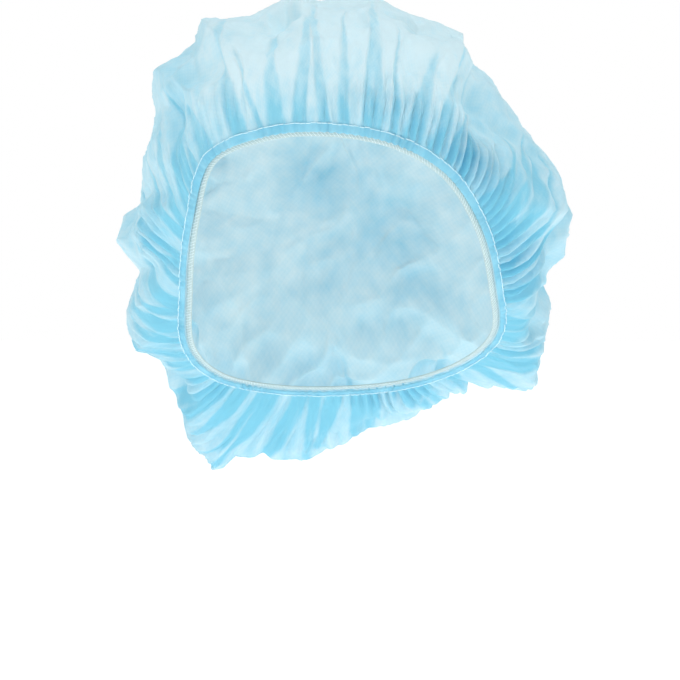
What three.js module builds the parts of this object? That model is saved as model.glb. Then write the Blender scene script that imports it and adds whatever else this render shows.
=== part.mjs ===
// A disposable hairnet: a round of thin nonwoven cloth gathered on an elastic edge, in the puffed form
// that it has on a head. Millimetres, +Z up, the face opening towards -Y, and the origin at the point
// inside the crown that sits on the top of a head.
import * as THREE from 'three';

// ---- driving dimensions -------------------------------------------------------------------------------

const WALL = 1.0; // the cloth's wall in this model
const GAP = 0.4; // the clear space between neighbouring pieces
const HEM_WIDTH = 4.6; // from the line of stitching to the folded edge
const HEM_THICK = 1.2;
const ELASTIC_WIDTH = 3.4;
const ELASTIC_THICK = 0.9;
const ELASTIC_SHOWS = 1.4; // how far the elastic's edge stands past the hem's

const PLEATS = 40; // small gathers all round the edge
const STEPS_PER_PLEAT = 4;
const PLEAT_DEPTH = 2.1; // half the height of a small gather, just past the stitching
const PLEAT_REACH = 0.42; // how far up the crown, from 0 at the edge to 1 at the centre, the gathers fade out
const PLEAT_FULL = 0.04; // where a small gather reaches its full height
const PLEAT_FADES = 0.1; // where it starts to fade out
const LIP = 0.16; // how far up the crown the cloth swells from the edge to its full girth
const TRIM_STEPS = 88; // steps along the hem and the elastic

const HEART = new THREE.Vector3(0, 28, -92); // the middle of the puffed crown
const FRONT_REACH = 119; // from the heart to the crown's foremost point
const BACK_REACH = 114;
const SLOPE = 0.36; // how far the crown's girth moves back for each millimetre below the heart
const ROUNDNESS = 2.3; // 2 is an ellipse from front to back, more is boxier
const LEAN_MEAN = 0.6; // how far the hem leans from the edge's own plane towards the face
const LEAN_SWING = 0.3; // how much more it does so at the brow, and less at the nape
const CENTRE_TILT = 47; // degrees from level up to the crown's centre, at the back of the head

// The edge's line of stitching, clockwise from the brow as the wearer's face is seen from the front.
const EDGE = [
  { place: 'brow', x: -6, y: -80, z: -54 },
  { place: 'brow right', x: 26, y: -77, z: -60 },
  { place: 'right temple', x: 50, y: -66, z: -74 },
  { place: 'right cheekbone', x: 66, y: -48, z: -98 },
  { place: 'right cheek', x: 74, y: -22, z: -126 },
  { place: 'right ear lobe', x: 76, y: 6, z: -147 },
  { place: 'behind right ear', x: 62, y: 40, z: -163 },
  { place: 'nape right', x: 34, y: 63, z: -174 },
  { place: 'nape', x: 0, y: 71, z: -178 },
  { place: 'nape left', x: -34, y: 63, z: -177 },
  { place: 'behind left ear', x: -62, y: 40, z: -170 },
  { place: 'left ear lobe', x: -76, y: 6, z: -154 },
  { place: 'left cheek', x: -76, y: -22, z: -128 },
  { place: 'left cheekbone', x: -72, y: -48, z: -97 },
  { place: 'left temple', x: -62, y: -67, z: -67 },
  { place: 'brow left', x: -36, y: -78, z: -56 },
];

// The corners of the crown's outline from the front, where its stiff folds stand out, clockwise from the top.
const CORNERS = [
  { fold: 'top peak', x: -22, z: 11 },
  { fold: 'top dip', x: -12, z: 7 },
  { fold: 'top right', x: 15, z: 9 },
  { fold: 'right crown dip', x: 24, z: 4 },
  { fold: 'right crown', x: 42, z: -2 },
  { fold: 'right shoulder', x: 58, z: -8 },
  { fold: 'right shoulder foot', x: 62, z: -17 },
  { fold: 'right upper side', x: 71, z: -31 },
  { fold: 'right side dip', x: 83, z: -53 },
  { fold: 'right belly top', x: 102, z: -76 },
  { fold: 'right belly', x: 108, z: -93 },
  { fold: 'right lower side', x: 100, z: -136 },
  { fold: 'right low corner', x: 96, z: -176 },
  { fold: 'right low edge', x: 68, z: -178 },
  { fold: 'under nape right', x: 35, z: -198 },
  { fold: 'under nape left', x: -20, z: -226 },
  { fold: 'left low corner', x: -75, z: -228 },
  { fold: 'left low side', x: -85, z: -198 },
  { fold: 'left flap dip', x: -84, z: -180 },
  { fold: 'left flap', x: -94, z: -164 },
  { fold: 'left lower corner', x: -102, z: -158 },
  { fold: 'left lower side', x: -102, z: -138 },
  { fold: 'left notch', x: -94, z: -120 },
  { fold: 'left belly', x: -106, z: -106 },
  { fold: 'left belly top', x: -104, z: -93 },
  { fold: 'left side dip', x: -95, z: -86 },
  { fold: 'left side', x: -96, z: -69 },
  { fold: 'left upper side', x: -88, z: -45 },
  { fold: 'left shoulder', x: -90, z: -27 },
  { fold: 'left shoulder top', x: -72, z: -13 },
  { fold: 'left crown', x: -69, z: -2 },
  { fold: 'left crown dip', x: -44, z: 0 },
];

// The large folds: valleys (depth above 0) and ridges (depth below 0) that run up the crown. The turn is in
// degrees round the edge from the brow, the lean is how far it turns on its way up, from and to are on the
// way from the edge at 0 to the crown's centre at 1, and the width is in degrees of turn.
const FOLDS = [
  { turn: 350, lean: -12, from: 0.04, to: 0.5, width: 4.5, depth: 4.5 },
  { turn: 4, lean: 6, from: 0.02, to: 0.42, width: 4, depth: 4 },
  { turn: 22, lean: 10, from: 0.04, to: 0.55, width: 5, depth: 4.5 },
  { turn: 47, lean: 4, from: 0.03, to: 0.6, width: 6, depth: 7 },
  { turn: 63, lean: -8, from: 0.12, to: 0.62, width: 6, depth: -5 },
  { turn: 84, lean: 10, from: 0.05, to: 0.5, width: 6, depth: 7 },
  { turn: 112, lean: -6, from: 0.05, to: 0.75, width: 8, depth: 8 },
  { turn: 136, lean: 8, from: 0.1, to: 0.6, width: 7, depth: -6 },
  { turn: 158, lean: 4, from: 0.05, to: 0.8, width: 8, depth: 8 },
  { turn: 184, lean: -8, from: 0.05, to: 0.7, width: 7, depth: 7 },
  { turn: 204, lean: 6, from: 0.1, to: 0.7, width: 7, depth: -6 },
  { turn: 226, lean: -6, from: 0.05, to: 0.8, width: 8, depth: 8 },
  { turn: 250, lean: 8, from: 0.1, to: 0.6, width: 7, depth: -5 },
  { turn: 272, lean: -8, from: 0.04, to: 0.6, width: 6, depth: 8 },
  { turn: 296, lean: 6, from: 0.12, to: 0.6, width: 6, depth: -4 },
  { turn: 313, lean: -4, from: 0.03, to: 0.62, width: 6, depth: 7 },
  { turn: 333, lean: -10, from: 0.05, to: 0.5, width: 5, depth: 4.5 },
];

// The rings of points that the crown's wall is made of: how far up each lies, closest together near the
// gathered edge, and how many of its pleats' points the ring skips, since the gathers fade out upwards.
const RINGS = [
  { up: 0, every: 1 },
  { up: 0.018, every: 1 },
  { up: 0.045, every: 1 },
  { up: 0.08, every: 1 },
  { up: 0.12, every: 1 },
  { up: 0.17, every: 1 },
  { up: 0.23, every: 1 },
  { up: 0.3, every: 1 },
  { up: 0.36, every: 2 },
  { up: 0.42, every: 2 },
  { up: 0.48, every: 2 },
  { up: 0.54, every: 2 },
  { up: 0.61, every: 2 },
  { up: 0.68, every: 2 },
  { up: 0.75, every: 4 },
  { up: 0.83, every: 4 },
  { up: 0.92, every: 4 },
];

// ---- the edge's line ----------------------------------------------------------------------------------

const edgeCurve = new THREE.CatmullRomCurve3(
  EDGE.map(({ x, y, z }) => new THREE.Vector3(x, y, z)),
  true,
  'centripetal',
);
edgeCurve.arcLengthDivisions = 800;

const edgeMiddle = new THREE.Vector3();
EDGE.forEach(({ x, y, z }) => edgeMiddle.add(new THREE.Vector3(x, y, z)));
edgeMiddle.divideScalar(EDGE.length);

const tilt = THREE.MathUtils.degToRad(CENTRE_TILT);
const towardsCentre = new THREE.Vector3(0, Math.cos(tilt), Math.sin(tilt));
const towardsFace = towardsCentre.clone().negate();

// The frame of the edge at a share of the way round: the point on the stitching, the way along it, the way
// down the hem to its folded edge, and the way out of the cloth. The hem lies along the brow, and turns to
// face forward at the cheeks.

function edgeFrame(share) {
  const point = edgeCurve.getPointAt(share);
  const along = edgeCurve.getTangentAt(share);
  const inward = edgeMiddle.clone().sub(point);
  inward.addScaledVector(towardsFace, -inward.dot(towardsFace)).normalize();
  const lean = LEAN_MEAN + LEAN_SWING * Math.cos(2 * Math.PI * share);
  const down = inward.addScaledVector(towardsFace, lean);
  down.addScaledVector(along, -down.dot(along)).normalize();
  const out = new THREE.Vector3().crossVectors(down, along).normalize();
  return { point, along, down, out };
}

// ---- the crown's shape --------------------------------------------------------------------------------

// How far the outline reaches from the heart at an angle in the front view: the ray meets a side between
// two neighbouring corners.
function outlineReach(angle) {
  const dx = Math.cos(angle);
  const dz = Math.sin(angle);
  let reach = 0;
  CORNERS.forEach((a, i) => {
    const b = CORNERS[(i + 1) % CORNERS.length];
    const ax = a.x - HEART.x;
    const az = a.z - HEART.z;
    const ex = b.x - a.x;
    const ez = b.z - a.z;
    const cross = dx * ez - dz * ex;
    const onSide = (ax * dz - az * dx) / cross;
    const distance = (ax * ez - az * ex) / cross;
    if (onSide >= 0 && onSide <= 1 && distance > reach) reach = distance;
  });
  return reach;
}

// How far the puffed crown reaches from its heart in a direction.
function girth(direction) {
  const flat = Math.hypot(direction.x, direction.z);
  const side = flat / outlineReach(Math.atan2(direction.z, direction.x));
  const ahead = direction.y + SLOPE * Math.min(direction.z, 0);
  const depth = Math.abs(ahead) / (ahead < 0 ? FRONT_REACH : BACK_REACH);
  return (side ** ROUNDNESS + depth ** ROUNDNESS) ** (-1 / ROUNDNESS);
}

const smooth = (low, high, value) => THREE.MathUtils.smoothstep(value, low, high);

// How much a fold sinks the cloth at a place on the crown.
function sink({ turn, lean, from, to, width, depth }, share, up) {
  const middle = (from + to) / 2;
  const centre = turn + (lean * (up - from)) / (to - from);
  const aside = ((share * 360 - centre + 540) % 360) - 180;
  const spread = width * (1 + up);
  const along = smooth(from / 2, middle, up) * (1 - smooth(middle, to + (to - middle) / 2, up));
  return depth * along * Math.exp(-((aside / spread) ** 2));
}

// A point of the crown's outer face, from the edge at up = 0 to its centre at up = 1.
function crownPoint(share, up) {
  const edge = edgeCurve.getPointAt(share).sub(HEART);
  const from = edge.clone().normalize();
  const angle = from.angleTo(towardsCentre);
  const direction = from
    .multiplyScalar(Math.sin((1 - up) * angle))
    .addScaledVector(towardsCentre, Math.sin(up * angle))
    .normalize();
  const swell = smooth(-LIP, LIP, up) * 2 - 1;
  const pleat = PLEAT_DEPTH * smooth(0, PLEAT_FULL, up) * (1 - smooth(PLEAT_FADES, PLEAT_REACH, up));
  let reach = THREE.MathUtils.lerp(edge.length(), girth(direction), swell);
  reach += pleat * Math.cos(2 * Math.PI * PLEATS * share);
  FOLDS.forEach((fold) => {
    reach -= sink(fold, share, up);
  });
  return direction.multiplyScalar(reach).add(HEART);
}

// ---- meshes -------------------------------------------------------------------------------------------

function solid(points, faces) {
  const geometry = new THREE.BufferGeometry();
  const numbers = points.flatMap((p) => [p.x, p.y, p.z]);
  geometry.setAttribute('position', new THREE.Float32BufferAttribute(numbers, 3));
  geometry.setIndex(faces.flat());
  geometry.computeVertexNormals();
  return geometry;
}

// The crown is an outer and an inner skin a wall apart, joined round the edge and closed at the centre.
function crownGeometry() {
  const outer = [];
  const rings = RINGS.map(({ up, every }) => {
    const count = (PLEATS * STEPS_PER_PLEAT) / every;
    const ring = Array.from({ length: count }, (_, i) => outer.length + i);
    ring.forEach((_, i) => outer.push(crownPoint(i / count, up)));
    return ring;
  });
  const centre = outer.length;
  outer.push(crownPoint(0, 1));
  const skin = [];
  rings.forEach((ring, j) => {
    const above = rings[j + 1];
    ring.forEach((a, i) => {
      const b = ring[(i + 1) % ring.length];
      if (!above) {
        skin.push([a, b, centre]);
        return;
      }
      const share = above.length / ring.length;
      const c = above[Math.floor(i * share)];
      const d = above[Math.floor((i + 1) * share) % above.length];
      skin.push([a, b, d]);
      if (c !== d) skin.push([a, d, c]);
    });
  });
  const normals = solid(outer, skin).getAttribute('normal');
  const inner = outer.map((p, i) => {
    const normal = new THREE.Vector3().fromBufferAttribute(normals, i);
    return p.clone().addScaledVector(normal, -WALL);
  });
  const shift = outer.length;
  const faces = [...skin];
  skin.forEach(([a, b, c]) => faces.push([a + shift, c + shift, b + shift]));
  rings[0].forEach((a, i) => {
    const b = rings[0][(i + 1) % rings[0].length];
    faces.push([a, a + shift, b + shift], [a, b + shift, b]);
  });
  return solid([...outer, ...inner], faces);
}

// A flat band that follows the edge. It runs from one place to another down the hem, and from one level to
// another through it, the outer one being the higher.
function bandGeometry({ top, bottom, inside, outside }) {
  const points = [];
  for (let i = 0; i < TRIM_STEPS; i += 1) {
    const { point, down, out } = edgeFrame(i / TRIM_STEPS);
    const place = (low, high) => point.clone().addScaledVector(down, low).addScaledVector(out, high);
    points.push(place(top, outside), place(bottom, outside), place(bottom, inside), place(top, inside));
  }
  const faces = [];
  const corners = 4;
  for (let i = 0; i < TRIM_STEPS; i += 1) {
    for (let k = 0; k < corners; k += 1) {
      const next = ((i + 1) % TRIM_STEPS) * corners;
      const a = i * corners + k;
      const b = i * corners + ((k + 1) % corners);
      const c = next + ((k + 1) % corners);
      const d = next + k;
      faces.push([a, b, c], [a, c, d]);
    }
  }
  return solid(points, faces);
}

// ---- the cap ------------------------------------------------------------------------------------------

function piece(name, geometry, color, roughness) {
  const material = new THREE.MeshStandardMaterial({ color, roughness, metalness: 0 });
  const mesh = new THREE.Mesh(geometry, material);
  mesh.name = name;
  return mesh;
}

const hemTop = WALL / 2 + GAP;
const hemBottom = hemTop + HEM_WIDTH - WALL / 2;
const elasticBottom = hemBottom + ELASTIC_SHOWS;
const hemInside = -WALL;
const elasticOutside = hemInside - GAP;

const cap = new THREE.Group();
cap.add(piece('crown', crownGeometry(), 0xa9def1, 0.7));
cap.add(
  piece(
    'hem',
    bandGeometry({ top: hemTop, bottom: hemBottom, inside: hemInside, outside: hemInside + HEM_THICK }),
    0x93cfe6,
    0.7,
  ),
);
cap.add(
  piece(
    'elastic_band',
    bandGeometry({
      top: elasticBottom - ELASTIC_WIDTH,
      bottom: elasticBottom,
      inside: elasticOutside - ELASTIC_THICK,
      outside: elasticOutside,
    }),
    0xd5e4e6,
    0.6,
  ),
);

export default cap;
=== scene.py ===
import math

import bpy
import numpy as np
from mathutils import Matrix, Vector


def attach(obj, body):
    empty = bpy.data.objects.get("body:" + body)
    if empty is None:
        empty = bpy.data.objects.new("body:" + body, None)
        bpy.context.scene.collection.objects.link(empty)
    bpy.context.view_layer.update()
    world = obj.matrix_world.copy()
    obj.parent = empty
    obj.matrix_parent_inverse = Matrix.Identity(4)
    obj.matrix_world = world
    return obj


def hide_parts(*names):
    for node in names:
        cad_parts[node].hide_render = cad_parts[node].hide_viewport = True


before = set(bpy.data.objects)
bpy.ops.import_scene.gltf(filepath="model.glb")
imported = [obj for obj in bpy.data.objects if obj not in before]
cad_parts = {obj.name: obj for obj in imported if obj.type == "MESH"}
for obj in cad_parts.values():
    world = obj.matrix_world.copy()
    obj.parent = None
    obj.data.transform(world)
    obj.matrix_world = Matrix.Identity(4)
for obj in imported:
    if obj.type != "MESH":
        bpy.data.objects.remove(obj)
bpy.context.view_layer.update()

# ---- the line of stitching ----------------------------------------------------------------------------
# The cap is one round of cloth whose edge is gathered on an elastic. The line of stitching that holds the
# gathers is what every other piece is fixed to: the crown rises from it and the hem hangs below it.

MM = 0.001

# The line's knots in millimetres from the point on top of the head. Right is right as seen from the front.
EDGE = [
    dict(place="brow", x=-6, y=-80, z=-54),
    dict(place="brow right", x=26, y=-77, z=-60),
    dict(place="right temple", x=50, y=-66, z=-74),
    dict(place="right cheekbone", x=66, y=-48, z=-98),
    dict(place="right cheek", x=74, y=-22, z=-126),
    dict(place="right ear lobe", x=76, y=6, z=-147),
    dict(place="behind right ear", x=62, y=40, z=-163),
    dict(place="nape right", x=34, y=63, z=-174),
    dict(place="nape", x=0, y=71, z=-178),
    dict(place="nape left", x=-34, y=63, z=-177),
    dict(place="behind left ear", x=-62, y=40, z=-170),
    dict(place="left ear lobe", x=-76, y=6, z=-154),
    dict(place="left cheek", x=-76, y=-22, z=-128),
    dict(place="left cheekbone", x=-72, y=-48, z=-97),
    dict(place="left temple", x=-62, y=-67, z=-67),
    dict(place="brow left", x=-36, y=-78, z=-56),
]
CENTRE_TILT = math.radians(47)  # from level up to the crown's centre, at the back of the head
TOWARDS_CENTRE = np.array([0, math.cos(CENTRE_TILT), math.sin(CENTRE_TILT)])
LEAN_MEAN = 0.6  # how far the hem leans out of the edge's own plane, away from the crown's centre,
LEAN_SWING = 0.3  # and how much more at the brow, and less at the nape
STEPS_PER_KNOT = 64
ALONG_STEP = 0.5 * MM  # over which the edge's direction is taken


def unit(vectors):
    """The vectors at length 1."""
    return vectors / np.linalg.norm(vectors, axis=-1, keepdims=True)


def closed_line(knots):
    """A smooth closed line through the knots, as a row of close points."""
    count = len(knots)
    t = np.linspace(0, 1, STEPS_PER_KNOT, endpoint=False)[:, None]
    stretches = []
    for i in range(count):
        a, b, c, d = (knots[(i + k) % count] for k in (-1, 0, 1, 2))
        ab, bc, cd = (math.sqrt(np.linalg.norm(q - p)) for p, q in ((a, b), (b, c), (c, d)))
        leave = c - b + bc * ((b - a) / ab - (c - a) / (ab + bc))
        arrive = c - b + bc * ((d - c) / cd - (d - b) / (bc + cd))
        stretch = (2 * t**3 - 3 * t**2 + 1) * b + (3 * t**2 - 2 * t**3) * c
        stretches.append(stretch + (t**3 - 2 * t**2 + t) * leave + (t**3 - t**2) * arrive)
    return np.concatenate(stretches)


edge_knots = np.array([[row["x"], row["y"], row["z"]] for row in EDGE])
edge_line = closed_line(edge_knots * MM)
edge_steps = np.linalg.norm(np.roll(edge_line, -1, axis=0) - edge_line, axis=1)
EDGE_LENGTH = edge_steps.sum()
edge_shares = np.concatenate([[0], np.cumsum(edge_steps)[:-1]]) / EDGE_LENGTH
edge_middle = edge_knots.mean(axis=0) * MM


def edge_at(share):
    """The points at these shares of the way round the line of stitching, from the brow."""
    return np.stack([np.interp(share, edge_shares, edge_line[:, k], period=1) for k in range(3)], axis=-1)


def edge_frame(share):
    """At each share: the point, the way along, the way down the hem to its fold, and the way out of it."""
    point = edge_at(share)
    small = ALONG_STEP / EDGE_LENGTH
    along = unit(edge_at(share + small) - edge_at(share - small))
    inward = edge_middle - point
    inward = unit(inward - (inward @ TOWARDS_CENTRE)[:, None] * TOWARDS_CENTRE)
    lean = LEAN_MEAN + LEAN_SWING * np.cos(2 * math.pi * share)
    down = inward - lean[:, None] * TOWARDS_CENTRE
    down = unit(down - (down * along).sum(1, keepdims=True) * along)
    return point, along, down, unit(np.cross(down, along))


# ---- crown --------------------------------------------------------------------------------------------
# The crown is a round of spunbond polypropylene, 530 mm across and about 0.1 mm thick, that light shines
# through. It is gathered into pleats at the stitching, stands away from the head in stiff folds, and
# sags into a bag behind the nape.

CUT_RADIUS = 265 * MM
CLOTH_RINGS = 140  # rings of points in the round; each has six more points than the one inside it
HEART = np.array([0, 28, -92]) * MM  # the middle of the puffed crown
FRONT_REACH = 119 * MM
BACK_REACH = 114 * MM
SLOPE = 0.36  # how far the crown's girth moves back for each millimetre below the heart
ROUNDNESS = 2.3  # 2 is an ellipsoid, and more is squarer
LIP = 0.16  # how far up the crown the cloth swells from the edge to its full girth
FREE_FROM = 0.02  # how far up the stitching holds the cloth still,
FREE_AT = 0.2  # and from where it is quite free to crumple
EASE = 7 * MM  # how much smaller the cloth is laid than it ends, as it grows when it is let out

# The corners of the outline from the front, where the stiff folds stand out, clockwise from the top and
# in millimetres.
CORNERS = [
    dict(fold="top peak", x=-22, z=11),
    dict(fold="top dip", x=-12, z=7),
    dict(fold="top right", x=15, z=9),
    dict(fold="right crown dip", x=24, z=4),
    dict(fold="right crown", x=42, z=-2),
    dict(fold="right shoulder", x=58, z=-8),
    dict(fold="right shoulder foot", x=62, z=-17),
    dict(fold="right upper side", x=71, z=-31),
    dict(fold="right side dip", x=83, z=-53),
    dict(fold="right belly top", x=102, z=-76),
    dict(fold="right belly", x=108, z=-93),
    dict(fold="right lower side", x=100, z=-136),
    dict(fold="right low corner", x=96, z=-176),
    dict(fold="right low edge", x=68, z=-178),
    dict(fold="under nape right", x=35, z=-198),
    dict(fold="under nape left", x=-20, z=-226),
    dict(fold="left low corner", x=-75, z=-228),
    dict(fold="left low side", x=-85, z=-198),
    dict(fold="left flap dip", x=-84, z=-180),
    dict(fold="left flap", x=-94, z=-164),
    dict(fold="left lower corner", x=-102, z=-158),
    dict(fold="left lower side", x=-102, z=-138),
    dict(fold="left notch", x=-94, z=-120),
    dict(fold="left belly", x=-106, z=-106),
    dict(fold="left belly top", x=-104, z=-93),
    dict(fold="left side dip", x=-95, z=-86),
    dict(fold="left side", x=-96, z=-69),
    dict(fold="left upper side", x=-88, z=-45),
    dict(fold="left shoulder", x=-90, z=-27),
    dict(fold="left shoulder top", x=-72, z=-13),
    dict(fold="left crown", x=-69, z=-2),
    dict(fold="left crown dip", x=-44, z=0),
]

# The large folds: valleys (depth above 0) and ridges (below 0) that run up the crown. The turn is in
# degrees round the edge from the brow, the lean is how far it turns on its way, and low and high are its
# ends on the way from the edge at 0 to the centre at 1. Width is in degrees and depth in millimetres.
FOLDS = [
    dict(turn=350, lean=-12, low=0.04, high=0.5, width=4.5, depth=4.5),
    dict(turn=4, lean=6, low=0.02, high=0.42, width=4, depth=4),
    dict(turn=22, lean=10, low=0.04, high=0.55, width=5, depth=4.5),
    dict(turn=47, lean=4, low=0.03, high=0.6, width=6, depth=7),
    dict(turn=63, lean=-8, low=0.12, high=0.62, width=6, depth=-5),
    dict(turn=84, lean=10, low=0.05, high=0.5, width=6, depth=7),
    dict(turn=112, lean=-6, low=0.05, high=0.75, width=8, depth=8),
    dict(turn=136, lean=8, low=0.1, high=0.6, width=7, depth=-6),
    dict(turn=158, lean=4, low=0.05, high=0.8, width=8, depth=8),
    dict(turn=184, lean=-8, low=0.05, high=0.7, width=7, depth=7),
    dict(turn=204, lean=6, low=0.1, high=0.7, width=7, depth=-6),
    dict(turn=226, lean=-6, low=0.05, high=0.8, width=8, depth=8),
    dict(turn=250, lean=8, low=0.1, high=0.6, width=7, depth=-5),
    dict(turn=272, lean=-8, low=0.04, high=0.6, width=6, depth=8),
    dict(turn=296, lean=6, low=0.12, high=0.6, width=6, depth=-4),
    dict(turn=313, lean=-4, low=0.03, high=0.62, width=6, depth=7),
    dict(turn=333, lean=-10, low=0.05, high=0.5, width=5, depth=4.5),
]

# The gathers, from the small ones at the stitching to the wide ones that they run together into further
# up: how many go round the cap, where they fade in and out on the way up, and how deep they are.
GATHERS = [
    dict(count=132, start=0.0, full=0.015, fade=0.04, end=0.16, depth=3.0),
    dict(count=66, start=0.0, full=0.05, fade=0.14, end=0.26, depth=1.2),
    dict(count=33, start=0.08, full=0.2, fade=0.34, end=0.5, depth=1.2),
    dict(count=15, start=0.25, full=0.45, fade=0.6, end=0.9, depth=2.6),
]
GATHER_WANDER = 1.9  # how far a gather strays from its even place, in radians of its own turn,
WANDER_ACROSS = 40 * MM  # over stretches of this size,
WANDER_AT = 0.15  # and fully from this far up
GATHER_PATCH = 24 * MM  # the gathers are deep and shallow in patches of this size,
GATHER_USUAL = 0.75  # by this share of their depth
GATHER_SWING = 0.95  # give or take this much,
GATHER_LEAST = 0.08  # but nowhere less than this
RIDGE_MEAN = 1.27  # the mean height of the rounded ridges, taken off so that the girth stays the same
BROW_TURN = 38  # the cloth lies flatter on the brow, within about this many degrees of its middle
FLATTER_ON_BROW = 0.6

# The pleats: cloth folded over itself at the stitching, three layers deep and so bluer, that open out into
# the single cloth further up. Turn and lean are as for the folds, the length is how far up it reaches, and
# the width at the stitching is in millimetres. These lie over the brow and the temples.
PLEATS = [
    dict(turn=322.5, lean=-7, length=0.16, width=7),
    dict(turn=334, lean=-8, length=0.42, width=5.5),
    dict(turn=340.5, lean=-6, length=0.2, width=1.6),
    dict(turn=345, lean=-1, length=0.3, width=5.5),
    dict(turn=351.5, lean=5, length=0.4, width=4.5),
    dict(turn=358.5, lean=-4, length=0.38, width=4),
    dict(turn=4, lean=0, length=0.34, width=3.6),
    dict(turn=12, lean=0.5, length=0.46, width=6.5),
    dict(turn=18, lean=1, length=0.28, width=2.6),
    dict(turn=23.5, lean=6, length=0.24, width=7),
    dict(turn=31, lean=9, length=0.36, width=5),
    dict(turn=36.5, lean=6, length=0.2, width=3),
    dict(turn=43, lean=4, length=0.34, width=5),
]
MORE_PLEATS = 46  # round the sides and the nape,
MORE_FROM = 50  # from this turn
MORE_SPREAD = 268  # over this many degrees
PLEAT_DEPTH = 1.2 * MM
PLEAT_HALF = 0.65  # of its width, on each side of its middle at the stitching
PLEAT_TIP = 0.25 * MM  # half its width where it ends
PLEAT_TAPER = 1.1
PLEAT_SIDE = (1.35, 0.7)  # its side is soft between these shares of its half width,
PLEAT_END = (1.0, 0.75)  # and its end between these shares of its length

random = np.random.default_rng(41)
for k in range(MORE_PLEATS):
    PLEATS.append(
        dict(
            turn=MORE_FROM + MORE_SPREAD * (k + random.uniform(0.1, 0.9)) / MORE_PLEATS,
            lean=random.uniform(-9, 9),
            length=random.uniform(0.1, 0.34),
            width=random.uniform(2.5, 6.5),
        )
    )

# The crumples: stiff creases that wander over the cloth between the gathers, in millimetres.
CRUMPLES = [
    dict(across=66, depth=6.5, seed=11),
    dict(across=32, depth=4.4, seed=12),
    dict(across=16, depth=2.0, seed=13),
]
CREASE_TOP = 0.8  # a crease stands out by this share of its depth between its valleys,
CREASE_FALL = 1.6  # and falls by this share for each unit of the swell that makes it
BEHIND = 80 * MM  # back from the mount, from where the slack cloth is fully crumpled,
ROUGHER_BEHIND = 0.5  # and by how much more


def smooth(low, high, value):
    """A smooth step from 0 at low to 1 at high."""
    t = np.clip((value - low) / (high - low), 0, 1)
    return t * t * (3 - 2 * t)


def swells(points, across, seed, waves=28):
    """A smooth random height at each point, about -1 to 1, whose hills are this far across."""
    random = np.random.default_rng(seed)
    ways = unit(random.normal(size=(waves, 3))) * random.uniform(0.7, 1.3, size=(waves, 1))
    starts = random.uniform(0, 2 * math.pi, size=waves)
    return np.cos(points @ ways.T * (math.pi / across) + starts).sum(axis=1) / math.sqrt(waves)


def outline_reach(angle):
    """How far the straight line from corner to corner is from the heart, at each angle from the front."""
    corners = np.array([[row["x"], row["z"]] for row in CORNERS]) * MM - HEART[[0, 2]]
    turns = np.arctan2(corners[:, 1], corners[:, 0])
    corners = corners[np.argsort(turns)]
    turns = np.sort(turns)
    side = np.searchsorted(turns, angle) % len(corners)
    b = corners[side]
    a = corners[side - 1]
    run = b - a
    return (a[:, 0] * run[:, 1] - a[:, 1] * run[:, 0]) / (
        np.cos(angle) * run[:, 1] - np.sin(angle) * run[:, 0]
    )


def girth(direction):
    """How far the puffed crown reaches from its heart in each direction."""
    x, y, z = direction.T
    side = np.hypot(x, z) / outline_reach(np.arctan2(z, x))
    ahead = y + SLOPE * np.minimum(z, 0)
    depth = np.abs(ahead) / np.where(ahead < 0, FRONT_REACH, BACK_REACH)
    return (side**ROUNDNESS + depth**ROUNDNESS) ** (-1 / ROUNDNESS)


def fold_depth(share, up):
    """How far the large folds sink the cloth, in metres."""
    sunk = np.zeros(len(share))
    for row in FOLDS:
        middle = (row["low"] + row["high"]) / 2
        centre = row["turn"] + row["lean"] * (up - row["low"]) / (row["high"] - row["low"])
        aside = (share * 360 - centre + 540) % 360 - 180
        spread = row["width"] * (1 + up)
        reach = smooth(row["low"] / 2, middle, up)
        reach *= 1 - smooth(middle, 1.5 * row["high"] - 0.5 * middle, up)
        sunk += row["depth"] * MM * reach * np.exp(-((aside / spread) ** 2))
    return sunk


def layers_at(share, up):
    """How much of a pleat's extra cloth lies at each point, from 0 to 1."""
    layers = np.zeros(len(share))
    for row in PLEATS:
        way = np.clip(up / row["length"], 0, 1)
        aside = (share * 360 - row["turn"] - row["lean"] * way + 540) % 360 - 180
        aside *= EDGE_LENGTH / 360
        half = PLEAT_HALF * row["width"] * MM * (1 - way) ** PLEAT_TAPER + PLEAT_TIP
        fold = smooth(*PLEAT_SIDE, np.abs(aside) / half) * smooth(*PLEAT_END, way)
        layers = np.maximum(layers, fold)
    return layers


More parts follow.
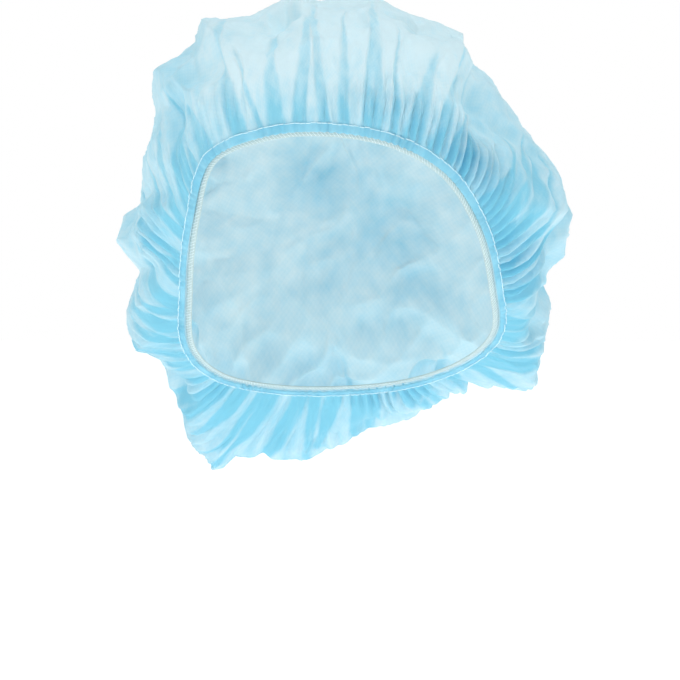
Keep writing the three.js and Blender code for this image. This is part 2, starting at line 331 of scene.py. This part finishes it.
def crown_at(share, up):
    """Points of the crown from the edge (up = 0) to its centre (up = 1).

    With them come how far they are sunk below the even girth, and how much of a pleat lies there."""
    edge = edge_at(share) - HEART
    start = unit(edge)
    angle = np.arccos(start @ TOWARDS_CENTRE)
    direction = unit(
        start * np.sin((1 - up) * angle)[:, None] + np.sin(up * angle)[:, None] * TOWARDS_CENTRE
    )
    swell = smooth(-LIP, LIP, up) * 2 - 1
    edge_reach = np.linalg.norm(edge, axis=1)
    even = edge_reach + (girth(direction) - edge_reach) * swell
    place = HEART + direction * even[:, None]
    reach = even - fold_depth(share, up)
    stray = GATHER_WANDER * swells(place, WANDER_ACROSS, 21)
    on_brow = np.exp(-((((share * 360 + 180) % 360 - 180) / BROW_TURN) ** 2))
    for row in GATHERS:
        height = smooth(row["start"], row["full"], up) * (1 - smooth(row["fade"], row["end"], up))
        patches = GATHER_USUAL + GATHER_SWING * swells(place, GATHER_PATCH, row["count"])
        height *= np.maximum(patches, GATHER_LEAST)
        turn = math.pi * row["count"] * share + stray * smooth(0.0, WANDER_AT, up)
        height *= 1 - FLATTER_ON_BROW * on_brow
        reach += row["depth"] * MM * height * (2 * np.abs(np.cos(turn)) - RIDGE_MEAN)
    free = smooth(FREE_FROM, FREE_AT, up)
    behind = smooth(0, BEHIND, place[:, 1])
    for row in CRUMPLES:
        crease = np.abs(swells(place, row["across"] * MM, row["seed"]))
        crease = free * (1 + ROUGHER_BEHIND * behind) * (CREASE_TOP - CREASE_FALL * crease)
        reach += row["depth"] * MM * crease
    layers = layers_at(share, up)
    reach -= PLEAT_DEPTH * layers + EASE * free
    return HEART + direction * reach[:, None], even - reach, layers


def round_of_cloth(rings):
    """The flat round: each point's ring and its share of the way round, and the triangles."""
    ring = np.concatenate([[0]] + [np.full(6 * k, k) for k in range(1, rings + 1)])
    share = np.concatenate([[0.0]] + [np.arange(6 * k) / (6 * k) for k in range(1, rings + 1)])
    first = [0] + [1 + 3 * k * (k - 1) for k in range(1, rings + 1)]
    faces = []
    for k in range(1, rings + 1):
        for sector in range(6):
            for j in range(k):
                outer = first[k] + (sector * k + j) % (6 * k)
                after = first[k] + (sector * k + j + 1) % (6 * k)
                inner = first[k - 1] + (sector * (k - 1) + j) % max(6 * (k - 1), 1)
                faces.append((inner, outer, after))
                if j:
                    before = first[k - 1] + sector * (k - 1) + j - 1
                    faces.append((before, outer, inner))
    return ring / rings, share, faces


def add_mesh(name, points, faces, uv=None):
    """A new object of these points and faces at the origin, smoothly shaded.

    uv is each point's place on the flat cloth in metres, which becomes the map called cut."""
    mesh = bpy.data.meshes.new(name)
    mesh.from_pydata(points.tolist(), [], faces)
    mesh.shade_smooth()
    if uv is not None:
        layer = mesh.uv_layers.new(name="cut")
        corners = np.empty(len(mesh.loops), dtype=np.int32)
        mesh.loops.foreach_get("vertex_index", corners)
        layer.data.foreach_set("uv", uv[corners].astype(np.float32).ravel())
    piece = bpy.data.objects.new(name, mesh)
    bpy.context.scene.collection.objects.link(piece)
    return piece


cut, cloth_share, cloth_faces = round_of_cloth(CLOTH_RINGS)
flat = np.stack([cut * np.sin(2 * math.pi * cloth_share), cut * np.cos(2 * math.pi * cloth_share)], 1)
laid, sunk, layers = crown_at(cloth_share, 1 - cut)
widest = np.linalg.norm(laid - HEART, axis=1) + sunk
crown = add_mesh("gathered_crown", laid, cloth_faces, flat * CUT_RADIUS)

# Painted light and shade: the cloth is painted paler over the top of the head and the brow, and painted
# deeper and bluer low down and at the sides. It is bluest near the stitching, partly for the cloth crowded
# together there and partly as painted shade.
PAINTED_LIGHT_ABOVE = -20 * MM
PAINTED_SHADE_BELOW = -80 * MM
PAINTED_LIGHT_WITHIN = 48 * MM
PAINTED_SHADE_BEYOND = 76 * MM
CROWDED_AND_SHADED = 0.7
CROWDED_AND_SHADED_TO = 0.14
# Painted light and shade by place: 0 paler at the top and brow, up to 1 deeper low down and at the sides.
painted_shade_and_crowding = smooth(PAINTED_LIGHT_ABOVE, PAINTED_SHADE_BELOW, laid[:, 2])
painted_shade_and_crowding = np.maximum(painted_shade_and_crowding, smooth(PAINTED_LIGHT_WITHIN, PAINTED_SHADE_BEYOND, np.abs(laid[:, 0])))
# Bluer near the stitching: partly the cloth crowded there in layers, partly painted shade between the
# gathers.
painted_shade_and_crowding += CROWDED_AND_SHADED * smooth(CROWDED_AND_SHADED_TO, 0.0, 1 - cut)


def mark(piece, name, values):
    """Gives each point of a piece a number, which its material reads by name."""
    attribute = piece.data.attributes.new(name, "FLOAT", "POINT")
    attribute.data.foreach_set("value", values.astype(np.float32))


# sunk also darkens the cloth's colour in its material: painted shade in the valleys of the folds, gathers
# and creases.
mark(crown, "sunk", sunk)
mark(crown, "layers", layers)
mark(crown, "painted_shade_and_crowding", painted_shade_and_crowding)

# Gathered cloth is held shorter than it was cut, so it buckles: the simulation lets it out a little, with
# the stitched edge held still.
LET_OUT = 0.17
SETTLE_FRAMES = 14
MOST_MOVE = 10 * MM
LEAST_MOVE = 0.001 * MM  # taken for a point that stays where it is
MOST_PROUD = 0.5 * MM  # beyond the crown's even girth, from where the cloth is held back
HELD_BACK = 0.8  # by this share of the rest
TIMES_EVENED = 3


def buckle(piece, held):
    """Lets the cloth out against its held points, and keeps the shape that it settles in."""
    group = piece.vertex_groups.new(name="stitched")
    group.add(held, 1.0, "REPLACE")
    modifier = piece.modifiers.new("buckle", "CLOTH")
    cloth = modifier.settings
    cloth.quality = 4
    cloth.mass = 0.1
    cloth.tension_stiffness = 25
    cloth.compression_stiffness = 25
    cloth.shear_stiffness = 12
    cloth.bending_stiffness = 0.6
    cloth.air_damping = 2
    cloth.vertex_group_mass = "stitched"
    cloth.shrink_min = -LET_OUT
    cloth.effector_weights.gravity = 0
    modifier.collision_settings.use_collision = False
    modifier.collision_settings.use_self_collision = False
    modifier.point_cache.frame_start = 1
    modifier.point_cache.frame_end = SETTLE_FRAMES
    for time in range(1, SETTLE_FRAMES + 1):
        bpy.context.scene.frame_set(time)
    settled = piece.evaluated_get(bpy.context.evaluated_depsgraph_get())
    points = np.empty(len(piece.data.vertices) * 3)
    settled.data.vertices.foreach_get("co", points)
    piece.modifiers.remove(modifier)
    piece.vertex_groups.remove(group)
    bpy.context.scene.frame_set(1)
    return points.reshape(-1, 3)


def evened(values, mesh, times):
    """Values at the points of a mesh, each drawn towards the mean of its neighbours."""
    ends = np.empty(len(mesh.edges) * 2, dtype=np.int32)
    mesh.edges.foreach_get("vertices", ends)
    a, b = ends.reshape(-1, 2).T
    count = np.bincount(ends, minlength=len(values))[:, None]
    for _ in range(times):
        total = np.zeros_like(values)
        for k in range(values.shape[1]):
            total[:, k] += np.bincount(a, values[b, k], minlength=len(values))
            total[:, k] += np.bincount(b, values[a, k], minlength=len(values))
        values = (values + total / count) / 2
    return values


stitched = cut == 1
moved = buckle(crown, np.flatnonzero(stitched).tolist()) - laid
far = np.linalg.norm(moved, axis=1, keepdims=True)
settled = laid + moved * np.minimum(1, MOST_MOVE / np.maximum(far, LEAST_MOVE))
out_from_heart = np.linalg.norm(settled - HEART, axis=1, keepdims=True)
over = np.maximum(out_from_heart - widest[:, None] - MOST_PROUD, 0)
settled = HEART + (settled - HEART) * (1 - HELD_BACK * over / out_from_heart)
laid = laid + evened(settled - laid, crown.data, TIMES_EVENED) * ~stitched[:, None]
crown.data.vertices.foreach_set("co", laid.ravel())
crown.data.update()


class Wire:
    """The output of a node, with sums and products written as in plain Python."""

    def __init__(self, maker, socket):
        self.maker, self.socket = maker, socket

    def beside(self, name):
        """Another output of the same node."""
        return Wire(self.maker, self.socket.node.outputs[name])

    def worked(self, operation, *numbers):
        """What a Math node makes of this and other numbers."""
        return self.maker.node("ShaderNodeMath", {"operation": operation}, dict(enumerate(numbers)))

    def __add__(self, other):
        return self.worked("ADD", self, other)

    __radd__ = __add__

    def __sub__(self, other):
        return self.worked("SUBTRACT", self, other)

    def __rsub__(self, other):
        return self.worked("SUBTRACT", other, self)

    def __mul__(self, other):
        return self.worked("MULTIPLY", self, other)

    __rmul__ = __mul__

    def sine(self):
        return self.worked("SINE", self)

    def at_most(self, most):
        return self.worked("MINIMUM", self, most)

    def kept(self):
        """The same number, held between 0 and 1."""
        return self.worked("MAXIMUM", self.at_most(1.0), 0.0)


class Tree:
    """A tree of nodes while it is being built."""

    def __init__(self, tree):
        self.tree = tree

    def node(self, kind, settings=None, sockets=None, out=0):
        """Adds a node of this kind and gives the wire from one of its outputs."""
        node = self.tree.nodes.new(kind)
        for name, value in (settings or {}).items():
            setattr(node, name, value)
        for name, value in (sockets or {}).items():
            if isinstance(value, Wire):
                self.tree.links.new(value.socket, node.inputs[name])
            else:
                node.inputs[name].default_value = value
        return Wire(self, node.outputs[out]) if len(node.outputs) else node


class Finish(Tree):
    """A material while it is being built."""

    def __init__(self, name):
        self.material = bpy.data.materials.new(name)
        self.material.use_nodes = True
        super().__init__(self.material.node_tree)
        self.tree.nodes.clear()

    def cut_place(self):
        """The place on the flat cloth, in metres."""
        return self.node("ShaderNodeUVMap", {"uv_map": "cut"})

    def noise(self, place, size, detail=2.0, distortion=0.0, out=0):
        """Soft noise from 0 to 1 whose patches are about this many metres across."""
        sockets = {"Vector": place, "Scale": 1 / size, "Detail": detail, "Distortion": distortion}
        return self.node("ShaderNodeTexNoise", None, sockets, out)

    def blend(self, share, low, high):
        """A colour between two, by a share."""
        return self.node("ShaderNodeMix", {"data_type": "RGBA"}, {0: share, 6: low, 7: high}, out=2)

    def bump(self, height, depth, strength=0.5):
        """The way a surface faces when its height runs over this depth."""
        sockets = {"Strength": strength, "Distance": depth, "Height": height}
        return self.node("ShaderNodeBump", None, sockets)

    def face(self, **sockets):
        """The surface itself, by the names of the Principled shader's sockets."""
        sockets = {name.replace("_", " "): value for name, value in sockets.items()}
        return self.node("ShaderNodeBsdfPrincipled", None, sockets)

    def mixed(self, share, one, other):
        """One surface, with a share of another."""
        return self.node("ShaderNodeMixShader", None, {0: share, 1: one, 2: other})

    def done(self, surface):
        """Ends the material with this surface."""
        self.node("ShaderNodeOutputMaterial", None, {"Surface": surface})
        return self.material


BOND_PITCH = 1.7 * MM  # between the hot-pressed points that bond the fibres
FIBRE_SIZE = 0.45 * MM
CLOUD_SIZE = 9 * MM  # of the thick and thin places in the web of fibres,
PATCH_SIZE = 22 * MM  # and of the larger ones
FACET_SIZE = 13 * MM  # between the fine creases,
FACET_BEND_SIZE = 16 * MM  # which bend over this distance
FACET_BEND = 12 * MM  # by about this much
CREASE_WIDTH = 0.16  # of a facet
CREASE_DEPTH = 7  # in heights of the fibres
CLOTH_BUMP = 0.12 * MM
PALE_CLOTH = (0.94, 0.98, 0.98, 1)
DEEP_CLOTH = (0.14, 0.54, 0.73, 1)
LIGHT_THROUGH = (0.62, 0.9, 0.97, 1)
SHARE_THROUGH = 0.45  # of the light that meets the cloth
DEEPER_WITH_CLOUDS = 0.9
DEEPER_WITH_FIBRES = 0.6
DEEPER_WITH_PATCHES = 0.6
DEEPER_WITH_BONDS = 0.05
# Painted shade: the cloth is painted deeper where it sinks below its even girth, in the valleys of folds,
# gathers and creases.
PAINTED_SHADE_WHEN_SUNK = 15  # for each metre
DEEPER_WHEN_FOLDED = 0.45
# Painted light and shade by place, with the crowding at the stitching.
DEEPER_WITH_PAINTED_SHADE = 0.5
OPENER_WITHOUT_CLOUDS = 1.4  # how much more one sees through it where it is thin
OPENER_WITHOUT_FIBRES = 1.2
CLOSED_WHEN_FOLDED = 0.8  # and how much less where it is folded


def spunbond(name, pale, deep, thin, folded):
    """Thin spunbond cloth: matted fibres with a diamond grid of bond points, lit from both sides.

    thin is how much of it one sees through, and folded is how much bluer it is for lying double."""
    finish = Finish(name)
    place = finish.cut_place()
    x = finish.node("ShaderNodeSeparateXYZ", None, {"Vector": place})
    bonds = (x * (math.pi / BOND_PITCH)).sine() * (x.beside("Y") * (math.pi / BOND_PITCH)).sine()
    clouds = finish.noise(place, CLOUD_SIZE, detail=3.0)
    patches = finish.noise(place, PATCH_SIZE)
    fibres = finish.noise(place, FIBRE_SIZE, detail=3.0, distortion=1.5)
    sunk, layers, painted_shade_and_crowding = (
        finish.node("ShaderNodeAttribute", {"attribute_name": number}, out=2)
        for number in ("sunk", "layers", "painted_shade_and_crowding")
    )
    shade = DEEPER_WITH_CLOUDS * (clouds - 0.5) + DEEPER_WITH_FIBRES * (fibres - 0.5)
    shade = shade + DEEPER_WITH_PATCHES * (patches - 0.45) + DEEPER_WITH_BONDS * bonds
    # Painted shade in the sunk valleys; the pleats' real extra layers make it bluer too.
    shade = shade + PAINTED_SHADE_WHEN_SUNK * sunk + DEEPER_WHEN_FOLDED * layers
    # Painted light and shade by place, and bluer where the cloth is crowded at the stitching.
    shade = (shade + DEEPER_WITH_PAINTED_SHADE * painted_shade_and_crowding + folded).kept()

    way = finish.noise(place, FACET_BEND_SIZE, out=1)
    bend = finish.node("ShaderNodeVectorMath", {"operation": "SCALE"}, {0: way, "Scale": FACET_BEND})
    bent = finish.node("ShaderNodeVectorMath", {"operation": "ADD"}, {0: place, 1: bend})
    facets = {"Vector": bent, "Scale": 1 / FACET_SIZE, "Randomness": 1.0}
    creases = finish.node("ShaderNodeTexVoronoi", {"feature": "DISTANCE_TO_EDGE"}, facets)
    height = bonds * 0.5 + fibres - CREASE_DEPTH * creases.at_most(CREASE_WIDTH)

    face = finish.face(
        Base_Color=finish.blend(shade, pale, deep),
        Roughness=0.62,
        Specular_IOR_Level=0.3,
        Sheen_Weight=0.25,
        Sheen_Roughness=0.4,
        Normal=finish.bump(height, CLOTH_BUMP),
    )
    glow = finish.node("ShaderNodeBsdfTranslucent", None, {"Color": LIGHT_THROUGH})
    holes = finish.node("ShaderNodeBsdfTransparent")
    gaps = 1.0 + OPENER_WITHOUT_CLOUDS * (0.5 - clouds) + OPENER_WITHOUT_FIBRES * (0.5 - fibres)
    gaps = (thin * gaps * (1.0 - CLOSED_WHEN_FOLDED * layers)).kept()
    return finish.done(finish.mixed(gaps, finish.mixed(SHARE_THROUGH, face, glow), holes))


crown_cloth = spunbond("nonwoven_cloth", PALE_CLOTH, DEEP_CLOTH, thin=0.09, folded=-0.16)
crown.data.materials.append(crown_cloth)
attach(crown, "root")
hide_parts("crown")


# ---- hem ----------------------------------------------------------------------------------------------
# The hem is the cloth's own edge, folded over to the inside as a flat casing and stitched down. It lies
# along the brow and turns to face forward at the cheeks.

HEM_TOP = -0.3 * MM  # above the stitching, so that the crown's edge goes into it
HEM_BOTTOM = 4.3 * MM
HEM_THICK = 1.1 * MM
HEM_INSIDE = -1.0 * MM
HEM_STEPS = 696
HEM_RIPPLE = 0.32 * MM
HEM_NARROWER = 0.28  # away from the brow, by this share of its depth
HEM_LAYERED = 0.6  # how much of the crown's pleats it shows
HEM_PALE = (0.42, 0.75, 0.88, 1)
HEM_DEEP = (0.2, 0.58, 0.76, 1)
BAND_CORNERS = 12  # points round the section of a band
EDGE_ROUND = 0.5  # of that section, where 1 is an ellipse and less is squarer
FACE_ROUND = 0.8
NARROWS = (0.05, 0.4)  # where a band starts and ends to narrow, on the way from the brow to the nape
RIPPLES = 168  # all the way round,
RIPPLE_STRAY = 3  # radians off their even places
RIPPLE_STRAY_SIZE = 18 * MM
RIPPLE_PATCH = 9 * MM  # and of uneven height, in patches of this size
RIPPLE_SWING = 0.8
RIPPLE_DOWN = 0.5  # how much of a ripple also moves the band down


def rounded(wave, power):
    """A sine or cosine made squarer by a power below 1."""
    return np.sign(wave) * np.abs(wave) ** power


def band(name, top, bottom, inside, outside, steps, ripple, narrower=0):
    """A flat band with round edges all along the stitching, whose face ripples by this much.

    It is narrower by a share of its depth away from the brow."""
    share = np.arange(steps) / steps
    point, _, down, out = edge_frame(share)
    turn = 2 * math.pi * np.arange(BAND_CORNERS) / BAND_CORNERS
    wide = rounded(np.cos(turn), EDGE_ROUND)
    high = rounded(np.sin(turn), FACE_ROUND)
    stray = RIPPLE_STRAY * swells(point, RIPPLE_STRAY_SIZE, 5)
    wave = ripple * np.cos(2 * math.pi * RIPPLES * share + stray)
    wave *= 1 + RIPPLE_SWING * swells(point, RIPPLE_PATCH, 6)
    level = (inside + outside) / 2 + high[None, :] * (outside - inside) / 2 + wave[:, None]
    off_brow = np.sin(math.pi * share) ** 2
    low = (bottom * (1 - narrower * smooth(*NARROWS, off_brow)))[:, None]
    lower = (top + low) / 2 + wide[None, :] * (low - top) / 2 + RIPPLE_DOWN * wave[:, None]
    points = point[:, None] + down[:, None] * lower[..., None] + out[:, None] * level[..., None]
    faces = []
    for i in range(steps):
        here = i * BAND_CORNERS
        after = (i + 1) % steps * BAND_CORNERS
        for k in range(BAND_CORNERS):
            turned = (k + 1) % BAND_CORNERS
            faces.append((here + k, after + k, after + turned, here + turned))
    along = np.repeat(share * EDGE_LENGTH, BAND_CORNERS)
    uv = np.stack([along, np.tile(turn / (2 * math.pi) * 2 * (bottom - top), steps)], axis=1)
    return add_mesh(name, points.reshape(-1, 3), faces, uv)


hem = band(
    "folded_hem",
    HEM_TOP,
    HEM_BOTTOM,
    HEM_INSIDE,
    HEM_INSIDE + HEM_THICK,
    HEM_STEPS,
    HEM_RIPPLE,
    HEM_NARROWER,
)
hem_shares = np.repeat(np.arange(HEM_STEPS) / HEM_STEPS, BAND_CORNERS)
mark(hem, "layers", HEM_LAYERED * layers_at(hem_shares, np.zeros(len(hem_shares))))
hem.data.materials.append(spunbond("hem_cloth", HEM_PALE, HEM_DEEP, thin=0.02, folded=0.3))
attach(hem, "root")
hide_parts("hem")


# ---- elastic ------------------------------------------------------------------------------------------
# The elastic is a flat band of covered rubber threads, whitish with a faint green tint. It is sewn to the
# inside of the hem, and its edge shows below the fold.

ELASTIC_TOP = 3.0 * MM
ELASTIC_BOTTOM = 6.3 * MM
ELASTIC_THICK = 0.9 * MM
ELASTIC_OUTSIDE = -1.4 * MM
ELASTIC_STEPS = 480
ELASTIC_RIPPLE = 0.05 * MM
CORD_PITCH = 0.55 * MM  # from one rubber thread to the next
WRAP_PITCH = 0.7 * MM  # from one turn of their wrapping to the next
WRAP_SLANT = 0.6
ELASTIC_BUMP = 0.12 * MM
SOIL_SIZE = 6 * MM
ELASTIC_DARK = (0.4, 0.55, 0.56, 1)
ELASTIC_PALE = (0.58, 0.72, 0.73, 1)

elastic = band(
    "elastic_edge",
    ELASTIC_TOP,
    ELASTIC_BOTTOM,
    ELASTIC_OUTSIDE - ELASTIC_THICK,
    ELASTIC_OUTSIDE,
    ELASTIC_STEPS,
    ELASTIC_RIPPLE,
)


def covered_elastic():
    """Covered rubber threads side by side, crossed by a fine wrapping."""
    finish = Finish("covered_elastic")
    place = finish.cut_place()
    x = finish.node("ShaderNodeSeparateXYZ", None, {"Vector": place})
    y = x.beside("Y")
    cords = (y * (2 * math.pi / CORD_PITCH)).sine()
    wraps = ((x + y * WRAP_SLANT) * (2 * math.pi / WRAP_PITCH)).sine()
    soil = finish.noise(place, SOIL_SIZE)
    shade = (0.4 + 0.2 * cords + 0.2 * wraps + 0.5 * (soil - 0.5)).kept()
    return finish.done(
        finish.face(
            Base_Color=finish.blend(shade, ELASTIC_DARK, ELASTIC_PALE),
            Roughness=0.55,
            Sheen_Weight=0.2,
            Normal=finish.bump(cords + 0.5 * wraps, ELASTIC_BUMP),
        )
    )


elastic.data.materials.append(covered_elastic())
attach(elastic, "root")
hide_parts("elastic_band")


# ---- stitches -----------------------------------------------------------------------------------------
# Pale thread holds it together: a straight row that pins the gathers to the top of the hem, and slanting
# overlock stitches that bind the fold to the elastic. Each stitch is a short bow of round thread.

BOW_STEPS = 5  # pieces that a stitch's bow is made of
THREAD_SIDES = 6
STITCH_STRAY = 0.16 * MM  # up or down from its place in the row
THREAD_SOIL = 3 * MM  # from one darker place to the next
THREAD_TWIST = 0.25 * MM
THREAD_BUMP = 0.06 * MM


def row_of_stitches():
    """One stitch at each point, along the point's run and standing up along its out."""
    group = bpy.data.node_groups.new("row_of_stitches", "GeometryNodeTree")
    sockets = {}
    group.interface.new_socket("Places", in_out="INPUT", socket_type="NodeSocketGeometry")
    for name, kind in (("Length", "Float"), ("Rise", "Float"), ("Thread", "Float"), ("Finish", "Material")):
        made = group.interface.new_socket(name, in_out="INPUT", socket_type="NodeSocket" + kind)
        sockets[name] = made.identifier
    group.interface.new_socket("Stitches", in_out="OUTPUT", socket_type="NodeSocketGeometry")

    row = Tree(group)
    given = row.node("NodeGroupInput")
    length = given.beside("Length")
    start = row.node("ShaderNodeCombineXYZ", None, {"X": length * -0.5})
    top = row.node("ShaderNodeCombineXYZ", None, {"Z": given.beside("Rise")})
    end = row.node("ShaderNodeCombineXYZ", None, {"X": length * 0.5})
    curve = {"Resolution": BOW_STEPS, "Start": start, "Middle": top, "End": end}
    bow = row.node("GeometryNodeCurveQuadraticBezier", None, curve)
    circle = {"Resolution": THREAD_SIDES, "Radius": given.beside("Thread")}
    ring = row.node("GeometryNodeCurvePrimitiveCircle", None, circle)
    along = {"Curve": bow, "Profile Curve": ring, "Fill Caps": True}
    stitch = row.node("GeometryNodeCurveToMesh", None, along)
    run, out = (
        row.node("GeometryNodeInputNamedAttribute", {"data_type": "FLOAT_VECTOR"}, {"Name": name})
        for name in ("run", "out")
    )
    turn = row.node(
        "FunctionNodeAxesToRotation",
        {"primary_axis": "Z", "secondary_axis": "X"},
        {"Primary Axis": out, "Secondary Axis": run},
    )
    places = row.node("GeometryNodeMeshToPoints", None, {"Mesh": given})
    copies = {"Points": places, "Instance": stitch, "Rotation": turn}
    stitches = row.node("GeometryNodeInstanceOnPoints", None, copies)
    real = row.node("GeometryNodeRealizeInstances", None, {"Geometry": stitches})
    ended = {"Geometry": real, "Material": given.beside("Finish")}
    row.node("NodeGroupOutput", None, {"Stitches": row.node("GeometryNodeSetMaterial", None, ended)})
    return group, sockets


stitch_row, stitch_sockets = row_of_stitches()


def sewn(name, count, lower, level, slant, jitter, seed, **sizes):
    """A row of stitches all the way round, this much lower than the stitching and at a level out from it.

    The jitter is in shares of a stitch along the row, and in radians of its slant."""
    random = np.random.default_rng(seed)
    share = (np.arange(count) + random.uniform(-jitter, jitter, count)) / count
    point, along, down, out = edge_frame(share)
    turn = slant + random.uniform(-jitter, jitter, count)
    run = along * np.cos(turn)[:, None] + down * np.sin(turn)[:, None]
    points = point + down * (lower + random.normal(0, STITCH_STRAY, count))[:, None] + out * level
    places = add_mesh(name + "_places", points, [])
    for kind, ways in (("run", run), ("out", out)):
        attribute = places.data.attributes.new(kind, "FLOAT_VECTOR", "POINT")
        attribute.data.foreach_set("vector", ways.astype(np.float32).ravel())
    modifier = places.modifiers.new("row", "NODES")
    modifier.node_group = stitch_row
    for size, value in sizes.items():
        modifier[stitch_sockets[size]] = value
    shown = places.evaluated_get(bpy.context.evaluated_depsgraph_get())
    piece = bpy.data.objects.new(name, bpy.data.meshes.new_from_object(shown))
    piece.data.shade_smooth()
    bpy.context.scene.collection.objects.link(piece)
    bpy.data.objects.remove(places)
    return piece


def thread(name, dark, light):
    """Twisted thread, a little darker in places."""
    finish = Finish(name)
    place = finish.node("ShaderNodeTexCoord", out=3)
    colour = finish.blend(finish.noise(place, THREAD_SOIL), dark, light)
    twist = finish.noise(place, THREAD_TWIST, detail=1.0)
    normal = finish.bump(twist, THREAD_BUMP, strength=0.4)
    return finish.done(finish.face(Base_Color=colour, Roughness=0.5, Sheen_Weight=0.15, Normal=normal))


top_row = sewn(
    "gathering_stitches",
    240,
    lower=0.3 * MM,
    level=0.3 * MM,
    slant=0,
    jitter=0.08,
    seed=51,
    Length=2.1 * MM,
    Rise=0.45 * MM,
    Thread=0.2 * MM,
    Finish=thread("pale_thread", (0.55, 0.82, 0.92, 1), (0.8, 0.95, 0.98, 1)),
)
overlock = sewn(
    "overlock_stitches",
    320,
    lower=4.9 * MM,
    level=-1.35 * MM,
    slant=math.radians(50),
    jitter=0.1,
    seed=52,
    Length=3.4 * MM,
    Rise=0.25 * MM,
    Thread=0.11 * MM,
    Finish=thread("grey_thread", (0.6, 0.76, 0.8, 1), (0.82, 0.93, 0.95, 1)),
)
for row, node, slot in ((top_row, "hem", "hem_cloth"), (overlock, "elastic_band", "elastic")):
    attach(row, "root")
    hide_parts(node)


# ---- room ---------------------------------------------------------------------------------------------
# A plain pale floor, plain soft light, and a camera level with the wearer's mouth.

FLOOR_LEVEL = -0.315  # where a head with its neck would stand
FLOOR_REACH = 300  # so far that its end is never seen
floor = add_mesh(
    "floor",
    np.array([[-1, -1, 0], [1, -1, 0], [1, 1, 0], [-1, 1, 0]]) * FLOOR_REACH + [0, 0, FLOOR_LEVEL],
    [(0, 1, 2, 3)],
)
pale = Finish("pale_floor")
pale_face = pale.face(
    Base_Color=(0.93, 0.93, 0.93, 1), Roughness=0.9, Emission_Color=(1, 1, 1, 1), Emission_Strength=0.95
)
floor.data.materials.append(pale.done(pale_face))


def softbox(name, place, aim, width, power):
    """A square soft light at a place, facing another."""
    light = bpy.data.lights.new(name, "AREA")
    light.energy = power
    light.size = width
    lamp = bpy.data.objects.new(name, light)
    lamp.location = place
    lamp.rotation_euler = (Vector(aim) - Vector(place)).to_track_quat("-Z", "Y").to_euler()
    bpy.context.scene.collection.objects.link(lamp)


CAP_MIDDLE = (0, 0.03, -0.1)
softbox("key_light", (-0.7, -1.5, 1.0), CAP_MIDDLE, 1.8, 15)
softbox("fill_light", (1.3, -1.0, 0.1), CAP_MIDDLE, 1.4, 5)
softbox("top_light", (0.1, 0.4, 1.4), CAP_MIDDLE, 1.2, 10)

# The room is seen white, but lights the cap only softly.
ROOM_LIGHT = 0.2
world = bpy.data.worlds.new("studio")
bpy.context.scene.world = world
world.use_nodes = True
room = Tree(world.node_tree)
room.tree.nodes.clear()
seen = room.node("ShaderNodeLightPath", out="Is Camera Ray")
strength = seen * (1 - ROOM_LIGHT) + ROOM_LIGHT
backdrop = room.node("ShaderNodeBackground", None, {"Color": (1, 1, 1, 1), "Strength": strength})
room.node("ShaderNodeOutputWorld", None, {"Surface": backdrop})
bpy.context.scene.view_settings.view_transform = "Standard"

CAMERA_PLACE = (-0.0014, -1.6, -0.151)
FRAME_WIDTH = 0.3196  # what the camera takes in at the depth of the origin
camera_data = bpy.data.cameras.new("camera")
camera_data.sensor_width = 36
camera_data.lens = camera_data.sensor_width * -CAMERA_PLACE[1] / FRAME_WIDTH
camera = bpy.data.objects.new("camera", camera_data)
camera.location = CAMERA_PLACE
camera.rotation_euler = (math.pi / 2, 0, 0)
bpy.context.scene.collection.objects.link(camera)
bpy.context.scene.camera = camera
